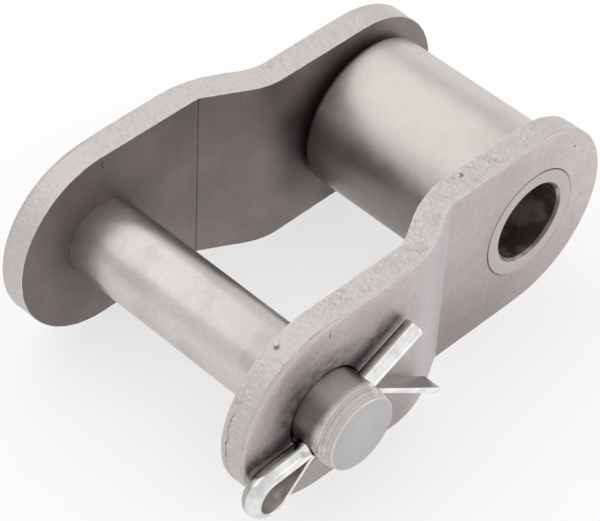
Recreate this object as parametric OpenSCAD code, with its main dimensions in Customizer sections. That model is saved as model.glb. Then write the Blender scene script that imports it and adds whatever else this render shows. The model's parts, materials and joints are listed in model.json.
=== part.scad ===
// Offset link of a roller chain: two cranked plates, a bush with its roller, a pin and its split pin.
// The origin is the centre of the bush. +X runs from the pin to the bush, +Y away from the split pin.

/* [Plates] */
// Distance from the pin axis to the bush axis
pitch = 30; // [29:0.1:32]
// Height of a plate, which is also the diameter of its round ends
plate_h = 19.4; // [18.6:0.1:21]
// Thickness of a plate
plate_t = 2.8; // [2.4:0.1:3.2]
// Clear width between the plates at the bush
inner_w = 19.05; // [17:0.05:21]
// Side play of the next link between the plates at the pin
side_play = 0.85; // [0.6:0.05:1.2]
// Distance from the pin axis to the start of the crank
crank_start = 11.6; // [10.8:0.1:12]
// Slope of the crank
crank_angle = 28.7; // [27:0.1:32]
// Inside radius of the bends at both ends of the crank
bend_r = 0.3; // [0.2:0.05:0.6]
// Radius of the stretched outside of those bends
bend_back_r = 12; // [4:0.5:14]

/* [Bush and roller] */
// Outer diameter of the bush
bush_d = 11.3; // [10.8:0.1:11.8]
// Running clearance of the next link's pin in the bush
bush_play = 0.1; // [0.06:0.02:0.2]
// Chamfer at both mouths of the bush
bush_chamfer = 0.3; // [0.1:0.05:0.4]
// Outer diameter of the roller
roller_d = 15.88; // [15:0.01:17]
// Running clearance of the roller on the bush
roller_play = 0.16; // [0.1:0.02:0.3]
// Free room for the roller along the bush
roller_room = 0.65; // [0.5:0.05:1]
// Part of that room on the split pin's side
roller_near_gap = 0.15; // [0.1:0.05:0.4]
// Radius on the roller's outer edges
roller_edge_r = 0.6; // [0.3:0.1:1]

/* [Pin] */
// Diameter of the pin
pin_d = 7.92; // [7.6:0.01:8.2]
// Clearance of the pin in the near plate
pin_play = 0.2; // [0.06:0.02:0.3]
// Straight length of the free end between its cross hole and its taper
tail_land = 0.1; // [0.05:0.05:1.5]
// Length of the taper on the free end
nose_l = 1.4; // [0.8:0.1:2]
// Drop of the taper in radius
nose_drop = 0.26; // [0.1:0.02:0.6]
// Overhang of the riveted head beyond the pin
head_lip = 0.74; // [0.4:0.02:1.2]
// Straight height of the riveted head's rim
head_rim = 0.35; // [0.2:0.05:0.6]
// Rise of the riveted head's dome above its rim
head_dome = 0.6; // [0.4:0.05:0.9]

/* [Split pin] */
// Width of the wire across its flat
split_d = 2.1; // [1.8:0.05:2.2]
// Thickness of one leg, its rolled crown included
leg_t = 0.95; // [0.7:0.05:1.05]
// Clearance of the split pin in the pin's cross hole
split_play = 1.1; // [0.8:0.05:1.3]
// Gap from the near plate to the edge of the cross hole, negative where the hole runs under the plate
split_gap = -0.25; // [-0.3:0.05:0.4]
// Drop of the cross hole's axis below the split pin's, which leaves room for the bent leg
hole_drop = 0.4; // [0:0.05:0.45]
// Tilt of the split pin above the line from pin to bush
split_tilt = 24; // [0:1:40]
// Gap between the flats of the legs
leg_gap = 0.1; // [0.06:0.02:0.16]
// Reach of the straight leg beyond the pin
straight_leg = 6.3; // [4:0.1:8]
// Length of the bent leg after its bend
bent_leg = 10.6; // [6:0.1:11]
// Angle that the bent leg turns through
leg_bend = 60; // [30:1:65]
// Radius of that bend at the leg's flat
leg_bend_r = 1.25; // [1.1:0.05:1.6]
// Inside radius of the eye
eye_r = 1.65; // [1.5:0.05:2]
// Angle at which each arm of the eye leaves the legs
eye_spread = 21; // [18:1:26]
// Radius of the bends from the legs into the arms
flare_r = 3; // [2.5:0.1:4]

/* [Hidden] */
$fn = 96;

// Width between the plates at the pin, and the step that the crank makes on each side
outer_w = inner_w + 2 * plate_t + side_play;
crank_step = (outer_w - inner_w) / 2;
crank_slope = (crank_step - (2 * bend_r + plate_t) * (1 - cos(crank_angle))) / sin(crank_angle);
crank_run = (2 * bend_r + plate_t) * sin(crank_angle) + crank_slope * cos(crank_angle);
crank_end = crank_start + crank_run;

bush_l = inner_w + 2 * plate_t;
bush_bore = pin_d + bush_play;
roller_l = inner_w - roller_room;
roller_shift = roller_near_gap - roller_room / 2;

// Places along the pin
near_face = -outer_w / 2 - plate_t;
far_face = outer_w / 2 + plate_t;
cross_hole_d = split_d + split_play;
cross_hole_y = near_face - split_gap - cross_hole_d / 2;
nose_face = cross_hole_y - cross_hole_d / 2 - tail_land - nose_l;
nose_r = pin_d / 2 - nose_drop;
head_r = pin_d / 2 + head_lip;
head_top = far_face + head_rim + head_dome;
dome_r = (pow(head_r, 2) + pow(head_dome, 2)) / (2 * head_dome);

// The split pin's arms part, and its lower leg starts to bend, just inside the pin's surface
arm_inset = 0.15;
bend_inset = 0.9;
leg_reach = pin_d / 2 + straight_leg;
arm_start = pin_d / 2 - arm_inset;
bend_start = pin_d / 2 - bend_inset;
arm_l = (eye_r * cos(eye_spread) - flare_r * (1 - cos(eye_spread)) - leg_gap / 2) / sin(eye_spread);
split_path = [
    [leg_reach + arm_start],
    [flare_r, -eye_spread],
    [arm_l],
    [eye_r, 180 + 2 * eye_spread],
    [arm_l],
    [flare_r, -eye_spread],
    [arm_start + bend_start],
    [leg_bend_r, -leg_bend],
    [bent_leg]
];

plate_colour = "#9a968f";
turned_colour = "#a8a59e";
wire_colour = "#d9d9d6";
overrun = 1;
bend_steps = 8;
turn_step = 9;
wire_steps = 12;

// Points along an arc, both ends included
function arc(centre, r, from, to, steps) =
    [for (i = [0:steps]) let (a = from + (to - from) * i / steps) centre + r * [cos(a), sin(a)]];

// Places [x, y, heading] along a path in the XY plane from a given place, that place left out.
// A step is [length], or [radius, angle] with a left turn positive.
function walk(path, place, i = 0) =
    i == len(path) ? [] :
    let (step = path[i])
    let (places = len(step) == 1 ? [ahead(place, step[0])] : round_turn(place, step[0], step[1]))
    concat(places, walk(path, places[len(places) - 1], i + 1));

function ahead(place, length) =
    [place.x + length * cos(place.z), place.y + length * sin(place.z), place.z];

function round_turn(place, r, angle) =
    let (side = sign(angle), steps = ceil(abs(angle) / turn_step))
    let (centre = [place.x - side * r * sin(place.z), place.y + side * r * cos(place.z)])
    [for (i = [1:steps])
        let (heading = place.z + angle * i / steps)
        [centre.x + side * r * sin(heading), centre.y - side * r * cos(heading), heading]];

// Lofts a section through the places of a path. The section's x is left of the path, its y is up.
module loft(places, section) {
    n = len(section);
    last = len(places) - 1;
    polyhedron(
        points = [
            for (p = places, q = section)
                [p.x - q.x * sin(p.z), p.y + q.x * cos(p.z), q.y]
        ],
        faces = concat(
            [[for (k = [0:n - 1]) k]],
            [for (i = [0:last - 1], k = [0:n - 1])
                let (next = (k + 1) % n)
                [i * n + k, (i + 1) * n + k, (i + 1) * n + next, i * n + next]],
            [[for (k = [n - 1:-1:0]) last * n + k]]
        )
    );
}

// Turns a profile about the Y axis, the profile's y running along +Y
module turned() {
    rotate([-90, 0, 0]) rotate_extrude() children();
}

module hole(d, from, to) {
    translate([0, from, 0]) rotate([-90, 0, 0]) cylinder(d = d, h = to - from);
}

// An arc about a bend's centre, eased to a wider radius between the same two tangents
function eased_arc(centre, r, wide_r, from, to, steps) =
    let (middle = (from + to) / 2)
    let (back = (wide_r - r) / cos((to - from) / 2))
    arc(centre - back * [cos(middle), sin(middle)], wide_r, from, to, steps);

// The plate's strip seen from above, on the +Y side, with its two bends
module plate_strip() {
    inside = outer_w / 2;
    reach = plate_h / 2 + overrun;
    first = [crank_start - pitch, inside - bend_r];
    second = [crank_end - pitch, inside - crank_step + plate_t + bend_r];
    polygon(concat(
        [[-pitch - reach, inside]],
        arc(first, bend_r, 90, 90 - crank_angle, bend_steps),
        eased_arc(second, bend_r + plate_t, bend_back_r, -90 - crank_angle, -90, bend_steps),
        [[reach, inside - crank_step], [reach, inside - crank_step + plate_t]],
        arc(second, bend_r, -90, -90 - crank_angle, bend_steps),
        eased_arc(first, bend_r + plate_t, bend_back_r, 90 - crank_angle, 90, bend_steps),
        [[-pitch - reach, inside + plate_t]]
    ));
}

// The outline that both plates are blanked to, seen along +Y
module plate_outline() {
    translate([-pitch, -plate_h / 2]) square([pitch, plate_h]);
    for (x = [-pitch, 0])
        translate([x, 0]) circle(d = plate_h);
}

// A plate before drilling, on the +Y side
module plate_blank() {
    intersection() {
        linear_extrude(plate_h + 2 * overrun, center = true) plate_strip();
        rotate([90, 0, 0]) linear_extrude(2 * outer_w, center = true) plate_outline();
    }
}

module drilled_plate(pin_hole_d) {
    difference() {
        plate_blank();
        hole(bush_d, 0, outer_w);
        translate([-pitch, 0, 0]) hole(pin_hole_d, 0, outer_w);
    }
}

module near_plate() {
    color(plate_colour) mirror([0, 1, 0]) drilled_plate(pin_d + pin_play);
}

module far_plate() {
    color(plate_colour) drilled_plate(pin_d);
}

module bush() {
    r = bush_bore / 2;
    end = bush_l / 2;
    color(turned_colour)
        turned()
            polygon([
                [r + bush_chamfer, -end],
                [bush_d / 2, -end],
                [bush_d / 2, end],
                [r + bush_chamfer, end],
                [r, end - bush_chamfer],
                [r, bush_chamfer - end]
            ]);
}

module roller() {
    bore_r = (bush_d + roller_play) / 2;
    wall = roller_d / 2 - bore_r;
    edge_y = roller_l / 2 - roller_edge_r;
    color(turned_colour)
        translate([0, roller_shift, 0])
            turned()
                translate([bore_r, 0]) {
                    translate([0, -roller_l / 2]) square([wall - roller_edge_r, roller_l]);
                    translate([0, -edge_y]) square([wall, 2 * edge_y]);
                    for (side = [-1, 1])
                        translate([wall - roller_edge_r, side * edge_y]) circle(roller_edge_r);
                }
}

module pin_blank() {
    turned() {
        polygon([
            [0, nose_face],
            [nose_r, nose_face],
            [pin_d / 2, nose_face + nose_l],
            [pin_d / 2, far_face],
            [head_r, far_face],
            [head_r, far_face + head_rim],
            [0, far_face + head_rim]
        ]);
        intersection() {
            translate([0, head_top - dome_r]) circle(dome_r);
            translate([0, far_face + head_rim]) square([head_r, head_dome]);
        }
    }
}

module at_cross_hole() {
    translate([-pitch, cross_hole_y, 0]) rotate([0, -split_tilt, 0]) children();
}

module link_pin() {
    color(turned_colour)
        difference() {
            translate([-pitch, 0, 0]) pin_blank();
            at_cross_hole()
                translate([0, 0, -hole_drop])
                    rotate([0, 90, 0])
                        cylinder(d = cross_hole_d, h = pin_d + 2 * overrun, center = true);
        }
}

module split_pin() {
    // The wire, right of the path, with its flat on the path and its crown rolled down
    half_wire = [
        for (p = arc([0, 0], split_d / 2, 90, 270, wire_steps)) [max(p.x, -leg_t), p.y]
    ];
    start = [-leg_reach, -leg_gap / 2, 0];
    color(wire_colour)
        at_cross_hole()
            rotate([-90, 0, 180])
                loft(concat([start], walk(split_path, start)), half_wire);
}

near_plate();
far_plate();
bush();
roller();
link_pin();
split_pin();
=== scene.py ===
"""Offset link of a roller chain: its six pieces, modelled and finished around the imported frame."""

import json
import math
from collections import namedtuple

import bmesh
import bpy
from bpy.props import FloatProperty, FloatVectorProperty, PointerProperty
from bpy.types import Operator, Panel, PropertyGroup
from mathutils import Euler, Matrix, Vector, noise


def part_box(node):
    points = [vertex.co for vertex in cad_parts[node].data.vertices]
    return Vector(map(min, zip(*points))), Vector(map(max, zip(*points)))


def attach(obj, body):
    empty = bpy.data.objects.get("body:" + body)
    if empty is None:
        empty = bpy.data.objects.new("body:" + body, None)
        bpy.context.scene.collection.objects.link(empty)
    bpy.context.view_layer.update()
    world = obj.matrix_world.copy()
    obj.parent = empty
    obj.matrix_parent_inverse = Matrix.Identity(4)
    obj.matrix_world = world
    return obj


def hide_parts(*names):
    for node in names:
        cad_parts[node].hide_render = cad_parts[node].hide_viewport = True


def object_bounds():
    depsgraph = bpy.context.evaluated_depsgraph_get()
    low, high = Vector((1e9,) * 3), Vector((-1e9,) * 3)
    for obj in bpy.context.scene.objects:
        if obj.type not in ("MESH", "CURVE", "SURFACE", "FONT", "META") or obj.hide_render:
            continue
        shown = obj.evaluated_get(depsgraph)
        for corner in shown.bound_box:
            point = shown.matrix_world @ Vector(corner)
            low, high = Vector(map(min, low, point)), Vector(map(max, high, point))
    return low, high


bl_info = {
    "name": "Offset Chain Link",
    "version": (1, 0, 0),
    "blender": (4, 5, 0),
    "location": "3D View > Sidebar > Chain Link",
    "description": "Models and finishes the pieces of a cranked roller-chain link",
    "category": "Object",
}

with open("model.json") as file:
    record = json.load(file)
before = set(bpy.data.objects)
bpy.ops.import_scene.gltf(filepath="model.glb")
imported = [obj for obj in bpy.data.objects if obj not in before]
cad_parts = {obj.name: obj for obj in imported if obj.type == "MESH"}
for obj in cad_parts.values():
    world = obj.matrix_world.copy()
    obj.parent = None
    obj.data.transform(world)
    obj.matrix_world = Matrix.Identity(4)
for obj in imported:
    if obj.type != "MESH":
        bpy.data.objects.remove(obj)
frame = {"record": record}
CAD_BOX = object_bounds()
MOUNTS = {mount["name"]: mount for mount in frame["record"]["mounts"]}

MM = 0.001
WELD = 1e-7
TOUCH = 1e-6

# Sizes that the frame gives. A plate is measured flat, from the pin's axis along the link.
PIN_X = MOUNTS["pin_journal"]["pos_m"][0]
PITCH = MOUNTS["bush_bore"]["pos_m"][0] - PIN_X
PIN_R = MOUNTS["pin_journal"]["dims"]["r_mm"] * MM
BORE_R = MOUNTS["bush_bore"]["dims"]["r_mm"] * MM
PLATE_LOW, PLATE_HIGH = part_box("far_plate")
BUSH_LOW, BUSH_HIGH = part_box("bush")
ROLLER_LOW, ROLLER_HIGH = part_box("roller")
PIN_LOW, PIN_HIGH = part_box("link_pin")
SPLIT_LOW, SPLIT_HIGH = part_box("split_pin")
PLATE_R = PLATE_HIGH.z
PLATE_T = BUSH_HIGH.y - PLATE_LOW.y
CRANK_STEP = PLATE_HIGH.y - BUSH_HIGH.y
BUSH_R = BUSH_HIGH.z
ROLLER_R = ROLLER_HIGH.z
HEAD_R = PIN_HIGH.z
SPLIT_Y = (SPLIT_LOW.y + SPLIT_HIGH.y) / 2
WIRE_R = (SPLIT_HIGH.y - SPLIT_LOW.y) / 2
OUTLINE_LENGTH = 2 * PITCH + 2 * math.pi * PLATE_R

# Half the width of the line in the inner bend, and the run over which the die roll narrows.
CREASE_HALF = 0.1 * MM
ROLL_FADE = 2 * MM

# Marks that this link has: the roller's side darkened as painted shade, a pit by the bush, and a crack
# given by its start and end along the near plate's edge and its depth from the inner face. The seeds are
# those of the tears.
ROLLER_SHADED_SIDE = (math.cos(math.radians(188)), math.sin(math.radians(188)))
PLATE_PIT = (5.32 * MM, -BUSH_HIGH.y, 6.21 * MM)
EDGE_CRACK = (85.5 * MM, 98 * MM, 0.6 * MM)
NEAR_SEED = 2.7
FAR_SEED = 9.1

# Fineness of the meshes, and the angles in degrees from which their edges are sharp.
HOLE_STEPS = 128
BUSH_STEPS = 160
ROLLER_STEPS = 192
PIN_STEPS = 144
EDGE_CUTS = 19
NOSE_MARKS = 10
PLATE_CREASE = 20
PIN_CREASE = 30
PIECE_CREASE = 40

# The stage: how white the floor looks, the room's light, the lamps and the camera.
FLOOR_WHITE = 0.65
ROOM_LIGHT = 0.85
LAMPS = {
    "back_lamp": ((-0.05, 0.36, 0.46), 1.1, 0.6, 1.0),
    "front_lamp": ((0.40, -0.42, 0.20), 0.4, 0.3, 0.35),
    "side_lamp": ((0.46, 0.26, 0.05), 0.5, 0.16, 0.09),
}
CAMERA_LENS = 162.2
CAMERA_PLACE = (-0.14637, -0.11945, 0.17092)
CAMERA_TURN = (45.3828, -2.3130, -44.9187)

# A lump that blanking left on a plate's edge: where it lies along the edge and across it, how wide and
# high it stands, and where the crack beside it opens, painted dark as the crack and as the nub's shadow.
Nub = namedtuple("Nub", "run depth radius height crack")


def length(name, description, default):
    return FloatProperty(name=name, description=description, default=default, unit="LENGTH", precision=5)


def angle(name, description, degrees):
    return FloatProperty(name=name, description=description, default=math.radians(degrees), subtype="ANGLE")


def colour(name, description, default):
    default = (*default, 1.0)
    return FloatVectorProperty(
        name=name, description=description, default=default, size=4, subtype="COLOR", min=0.0, max=1.0
    )


class PlateSizes(PropertyGroup):
    crank_start: length("Crank start", "From the pin's axis to the first bend", 11.6 * MM)
    crank_angle: angle("Crank angle", "Slope of the crank against the plate's ends", 28.7)
    bend_radius: length("Bend radius", "Inside radius of both bends", 0.3 * MM)
    bend_back: length("Bend back", "Radius of the stretched outside of both bends", 12 * MM)
    soft_knee: length("Soft knee", "Inner-face radius of the far plate's first bend", 2 * MM)
    soft_inner: length("Soft bend, inner", "Inner-face radius of the far plate's second bend", 7 * MM)
    soft_outer: length("Soft bend, outer", "Outer-face radius of the far plate's second bend", 5 * MM)
    crease: length("Crease", "Depth of the line that the punch leaves in the inner bend", 0.05 * MM)
    die_roll: length("Die roll", "Rounding of the outer face's rim at the round ends", 0.36 * MM)
    straight_roll: length("Die roll, straight", "Rounding of that rim along the straight edges", 0.12 * MM)
    lip: length("Lip", "Height of the ragged lip where the die roll starts", 0.05 * MM)
    near_tear: length("Near tear", "Roughness of the near plate's torn edge", 0.13 * MM)
    far_tear: length("Far tear", "Roughness of the far plate's torn edge", 0.06 * MM)
    burr: length("Burr", "Height of the burr along the inner face", 0.05 * MM)
    outline_step: length("Outline step", "Spacing of the mesh along the edge", 0.11 * MM)
    hole_break: length("Hole break", "Broken edge of the two holes", 0.14 * MM)
    pin_slip: length("Pin slip", "Clearance round the pin in the near plate", 0.1 * MM)


class TurnedSizes(PropertyGroup):
    roller_edge: length("Roller edge", "Rounding of the roller's rims", 0.6 * MM)
    roller_play: length("Roller play", "Clearance of the roller on the bush, on the diameter", 0.16 * MM)
    bush_chamfer: length("Bush chamfer", "Chamfer at the mouths of the bush", 0.3 * MM)
    bush_break: length("Bush break", "Broken edge round the ends of the bush", 0.07 * MM)
    nose: length("Nose length", "Length of the pin's tapered free end", 1.4 * MM)
    nose_drop: length("Nose drop", "How far the free end tapers, on the radius", 0.26 * MM)
    nose_groove: length("Tool mark", "Depth of the turning marks on the taper", 0.022 * MM)
    head_rim: length("Head rim", "Straight rim of the riveted head", 0.35 * MM)
    cross_hole: length("Cross hole", "Diameter of the hole for the split pin", 3.2 * MM)
    hole_drop: length("Hole drop", "Drop of the cross hole's axis below the split pin's", 0.4 * MM)


class SplitPinSizes(PropertyGroup):
    tilt: angle("Tilt", "Tilt above the line from pin to bush", 24)
    leg_gap: length("Leg gap", "Gap between the flats of the legs", 0.1 * MM)
    straight_leg: length("Straight leg", "Reach of the straight leg beyond the pin", 6.3 * MM)
    bent_leg: length("Bent leg", "Length of the lower leg after its bend", 10.6 * MM)
    leg_bend: angle("Leg bend", "Angle that the lower leg turns through", 60)
    leg_bend_radius: length("Leg bend radius", "Radius of that bend at the leg's flat", 1.25 * MM)
    bend_inset: length("Bend inset", "How far inside the pin's surface the bend starts", 0.9 * MM)
    arm_inset: length("Arm inset", "How far inside the pin's surface the arms part", 0.15 * MM)
    eye_radius: length("Eye radius", "Inside radius of the eye", 1.65 * MM)
    eye_spread: angle("Eye spread", "Angle at which each arm leaves the legs", 21)
    flare_radius: length("Flare radius", "Radius of the bends into the arms", 3 * MM)
    wire_edge: length("Wire edge", "Rounding along the edges of the wire's flat", 0.12 * MM)
    leg_thickness: length("Leg thickness", "Thickness of one leg, its rolled crown included", 0.95 * MM)


class LinkColours(PropertyGroup):
    plate: colour("Plate", "Blasted faces of the side plates", (0.575, 0.52, 0.515))
    plate_dull: colour("Plate, dull", "Darker cloud on the blasted faces", (0.525, 0.468, 0.462))
    # The slope colour is a painted reflection: a lighter, bluer tone for the crank's outer face.
    slope: colour("Slope", "Outer face of the crank, burnished by the press", (0.60, 0.57, 0.585))
    # The next two colours darken the inner faces as painted shade.
    inner: colour("Inner face", "Unblasted inner faces of the side plates", (0.325, 0.285, 0.27))
    inner_shade_cloud: colour("Soot", "Darker cloud on the inner faces", (0.265, 0.23, 0.225))
    torn: colour("Torn edge", "Blanked edge of the plates", (0.625, 0.575, 0.55))
    cream: colour("Cream", "Paler patches of the blanked edge", (0.60, 0.572, 0.548))
    lip: colour("Lip", "Ragged lip between the torn edge and the die roll", (0.74, 0.695, 0.675))
    pit: colour("Pit", "Bottom of the pits in edges and faces", (0.17, 0.15, 0.135))
    turned: colour("Turned steel", "Roller, bush and pin", (0.62, 0.586, 0.566))
    film: colour("Film", "Oil film on the roller", (0.55, 0.512, 0.475))
    cut_end: colour("Cut end", "End face of the pin", (0.50, 0.485, 0.49))
    smear: colour("Smear", "Dry oil on the turned pieces", (0.54, 0.505, 0.485))
    bore: colour("Bore", "Browned bore of the bush", (0.16, 0.12, 0.085))
    zinc: colour("Zinc", "Plating of the split pin", (0.90, 0.895, 0.88))
    # The eye colour is painted light: the inside of the eye is made much lighter than the wire's flat.
    eye: colour("Eye", "Inside of the split pin's eye", (0.93, 0.88, 0.84))
    zinc_dull: colour("Zinc, dull", "Flat of the split pin's wire", (0.45, 0.435, 0.435))
    scuff: colour("Scuff", "Drawing lines on the split pin", (0.39, 0.385, 0.33))
    floor: colour("Floor", "Plain floor under the link", (0.98, 0.98, 0.98))


class LinkSettings(PropertyGroup):
    plates: PointerProperty(type=PlateSizes)
    turned: PointerProperty(type=TurnedSizes)
    split_pin: PointerProperty(type=SplitPinSizes)
    colours: PointerProperty(type=LinkColours)


class Signal:
    """One socket of a finish. Arithmetic on it adds Math nodes."""

    def __init__(self, finish, socket):
        self.finish = finish
        self.socket = socket

    def maths(self, operation, *values):
        return self.finish.node("ShaderNodeMath", {"operation": operation}, dict(enumerate(values)))[0]

    def __add__(self, other):
        return self.maths("ADD", self, other)

    def __sub__(self, other):
        return self.maths("SUBTRACT", self, other)

    def __rsub__(self, other):
        return self.maths("SUBTRACT", other, self)

    def __mul__(self, other):
        return self.maths("MULTIPLY", self, other)

    def __truediv__(self, other):
        return self.maths("DIVIDE", self, other)

    def __pow__(self, other):
        return self.maths("POWER", self, other)

    def __abs__(self):
        return self.maths("ABSOLUTE", self)

    __radd__ = __add__
    __rmul__ = __mul__

    def rise(self, low, high):
        """0 below low, 1 above high, and a smooth rise between them."""
        sockets = {"Value": self, "From Min": low, "From Max": high}
        return self.finish.node("ShaderNodeMapRange", {"interpolation_type": "SMOOTHSTEP"}, sockets)[0]


class Outputs:
    """The outputs of one node, by name or number."""

    def __init__(self, finish, node):
        self.finish = finish
        self.sockets = node.outputs

    def __getitem__(self, key):
        return Signal(self.finish, self.sockets[key])


class Finish:
    """A material that is put together node by node."""

    def __init__(self, name):
        self.material = bpy.data.materials.new(name)
        self.material.use_nodes = True
        self.tree = self.material.node_tree
        self.tree.nodes.clear()
        self.place = self.node("ShaderNodeTexCoord")["Object"]

    def node(self, kind, settings=None, sockets=None):
        made = self.tree.nodes.new(kind)
        for key, value in (settings or {}).items():
            setattr(made, key, value)
        for key, value in (sockets or {}).items():
            if isinstance(value, Signal):
                self.tree.links.new(value.socket, made.inputs[key])
            else:
                made.inputs[key].default_value = value
        return Outputs(self, made)

    def axes(self):
        """X, Y and Z of the place that is shaded."""
        return self.node("ShaderNodeSeparateXYZ", None, {0: self.place})

    def stretch(self, factors):
        sockets = {0: self.place, 1: factors}
        return self.node("ShaderNodeVectorMath", {"operation": "MULTIPLY"}, sockets)[0]

    def distance(self, place, point):
        """Distance of a place from one point."""
        return self.node("ShaderNodeVectorMath", {"operation": "DISTANCE"}, {0: place, 1: point})["Value"]

    def grain(self, size, detail=3.0, place=None, sharp=0.5):
        """Noise of a given grain size, from about 0.3 to 0.7."""
        sockets = {"Vector": place or self.place, "Scale": 1 / size, "Detail": detail, "Roughness": sharp}
        return self.node("ShaderNodeTexNoise", None, sockets)[0]

    def lines(self, run, size):
        """Noise along one measure, for the marks of turning."""
        sockets = {"W": run, "Scale": 1 / size, "Detail": 2.0}
        return self.node("ShaderNodeTexNoise", {"noise_dimensions": "1D"}, sockets)[0]

    def specks(self, size):
        """Distance to the nearest of many scattered points, 0 at a point."""
        sockets = {"Vector": self.place, "Scale": 1 / size}
        return self.node("ShaderNodeTexVoronoi", {"feature": "F1"}, sockets)["Distance"]

    def mix(self, factor, first, second):
        sockets = {0: factor, 6: first, 7: second}
        return self.node("ShaderNodeMix", {"data_type": "RGBA"}, sockets)[2]

    def shade(self, tint, level):
        """A colour made lighter or darker by a signal."""
        grey = self.node("ShaderNodeCombineColor", None, {0: level, 1: level, 2: level})[0]
        settings = {"data_type": "RGBA", "blend_type": "MULTIPLY"}
        return self.node("ShaderNodeMix", settings, {0: 1.0, 6: tint, 7: grey})[2]

    def bump(self, height, depth, strength):
        sockets = {"Strength": strength, "Distance": depth, "Height": height}
        return self.node("ShaderNodeBump", None, sockets)[0]

    def metal(self, tint, roughness, normal):
        sockets = {"Base Color": tint, "Metallic": 1.0, "Roughness": roughness, "Normal": normal}
        shader = self.node("ShaderNodeBsdfPrincipled", None, sockets)[0]
        self.node("ShaderNodeOutputMaterial", None, {"Surface": shader})
        return self.material


def axis_reach(parts, axis_x):
    """Distance from an axis along Y."""
    along = parts["X"] - axis_x
    return (along * along + parts["Z"] * parts["Z"]) ** 0.5


def above_legs(parts, split):
    """Distance above the middle of the split pin's straight legs."""
    return parts["Z"] * math.cos(split.tilt) - (parts["X"] - PIN_X) * math.sin(split.tilt)


def blasted_face(sizes, split, colours):
    """Matte outer face: blasted grain, soft clouds and pits; oil and painted shade round the pin, dirt and
    a painted shadow along the split pin, painted shade lower down, towards the pin end and just past the
    second bend, and a painted reflection on the crank's slope.
    """
    finish = Finish("outer_face")
    cloud = finish.grain(7 * MM, 4.0)
    grain = finish.grain(0.19 * MM, 2.0)
    tint = finish.mix(cloud.rise(0.36, 0.64), colours.plate_dull, colours.plate)
    tint = finish.shade(tint, 0.79 + 0.42 * grain)
    fine = finish.grain(0.08 * MM, 1.0)
    blots = finish.grain(0.9 * MM, 4.0, None, 0.65).rise(0.38, 0.62)
    parts = finish.axes()
    near = 1 - parts["Y"].rise(-MM, MM)
    # Oil and painted shade round the pin, strongest on the near plate.
    pin_oil_and_shade = 1 - (axis_reach(parts, PIN_X) + 3 * MM * (cloud - 0.5)).rise(PIN_R, PIN_R + 3.9 * MM)
    pin_oil_and_shade = pin_oil_and_shade * (0.4 + 0.6 * near)
    leg_run = (parts["X"] - PIN_X) * math.cos(split.tilt) + parts["Z"] * math.sin(split.tilt)
    arm_run = -1 * leg_run - PIN_R
    spread = arm_run.maths("MAXIMUM", arm_run, 0.0) * 0.3
    above = above_legs(parts, split) - spread
    leg_end = PIN_R + split.straight_leg
    # Dirt and a painted shadow in a band above the split pin's legs and arm on the near plate, fading over
    # a few millimetres.
    faded = (above + 1.4 * MM * (blots - 0.5)).rise(0.1 * MM, 2.6 * MM)
    leg_shadow_and_dirt = above.rise(-0.5 * MM, 0.1 * MM) * (1 - faded)
    leg_shadow_and_dirt = leg_shadow_and_dirt * (1 - abs(leg_run).rise(leg_end - 0.6 * MM, leg_end + 0.8 * MM)) * near
    # Painted shade: darker towards the bottom and towards the pin end.
    shade_low_and_to_pin = 0.81 + 0.22 * parts["Z"].rise(-PLATE_R, 0.0) + 0.12 * parts["X"].rise(PIN_X / 3, PLATE_R)
    # The film takes in the oil and painted shade round the pin, the dirt and painted shadow by the split
    # pin, and blotches.
    film = (1 - pin_oil_and_shade * (0.26 + 0.36 * blots)) * (1 - 0.58 * leg_shadow_and_dirt) * (1.03 - 0.06 * blots)
    crank = Crank(sizes)
    bend = PIN_X + crank.end
    past_bend = parts["X"].rise(bend - 0.05 * MM, bend + 0.05 * MM)
    # Painted shade on the flat just past the second bend, strongest low down.
    shade_past_bend = past_bend * near * (1 - parts["X"].rise(bend, PLATE_R))
    shade_past_bend = shade_past_bend * (1 - 0.7 * parts["Z"].rise(-4 * MM, 4 * MM))
    # Painted reflection: the crank's slope on the near plate is made lighter and bluer.
    slope = parts["X"].rise(PIN_X + crank.start - MM, PIN_X + crank.start + 1.5 * MM) * (1 - past_bend)
    tint = finish.shade(tint, shade_low_and_to_pin * film * (1 - 0.18 * shade_past_bend))
    tint = finish.mix(slope * near * 0.6, tint, colours.slope)
    spot = finish.distance(finish.place, PLATE_PIT)
    pits = finish.specks(6 * MM).rise(0.008, 0.018) * spot.rise(0.1 * MM, 0.16 * MM)
    tint = finish.mix(pits, colours.pit, tint)
    rough = 0.46 + 0.14 * cloud
    height = grain * 0.7 + fine * 0.3 + pits * 0.6
    return finish.metal(tint, rough, finish.bump(height, 0.03 * MM, 0.6))


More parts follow.
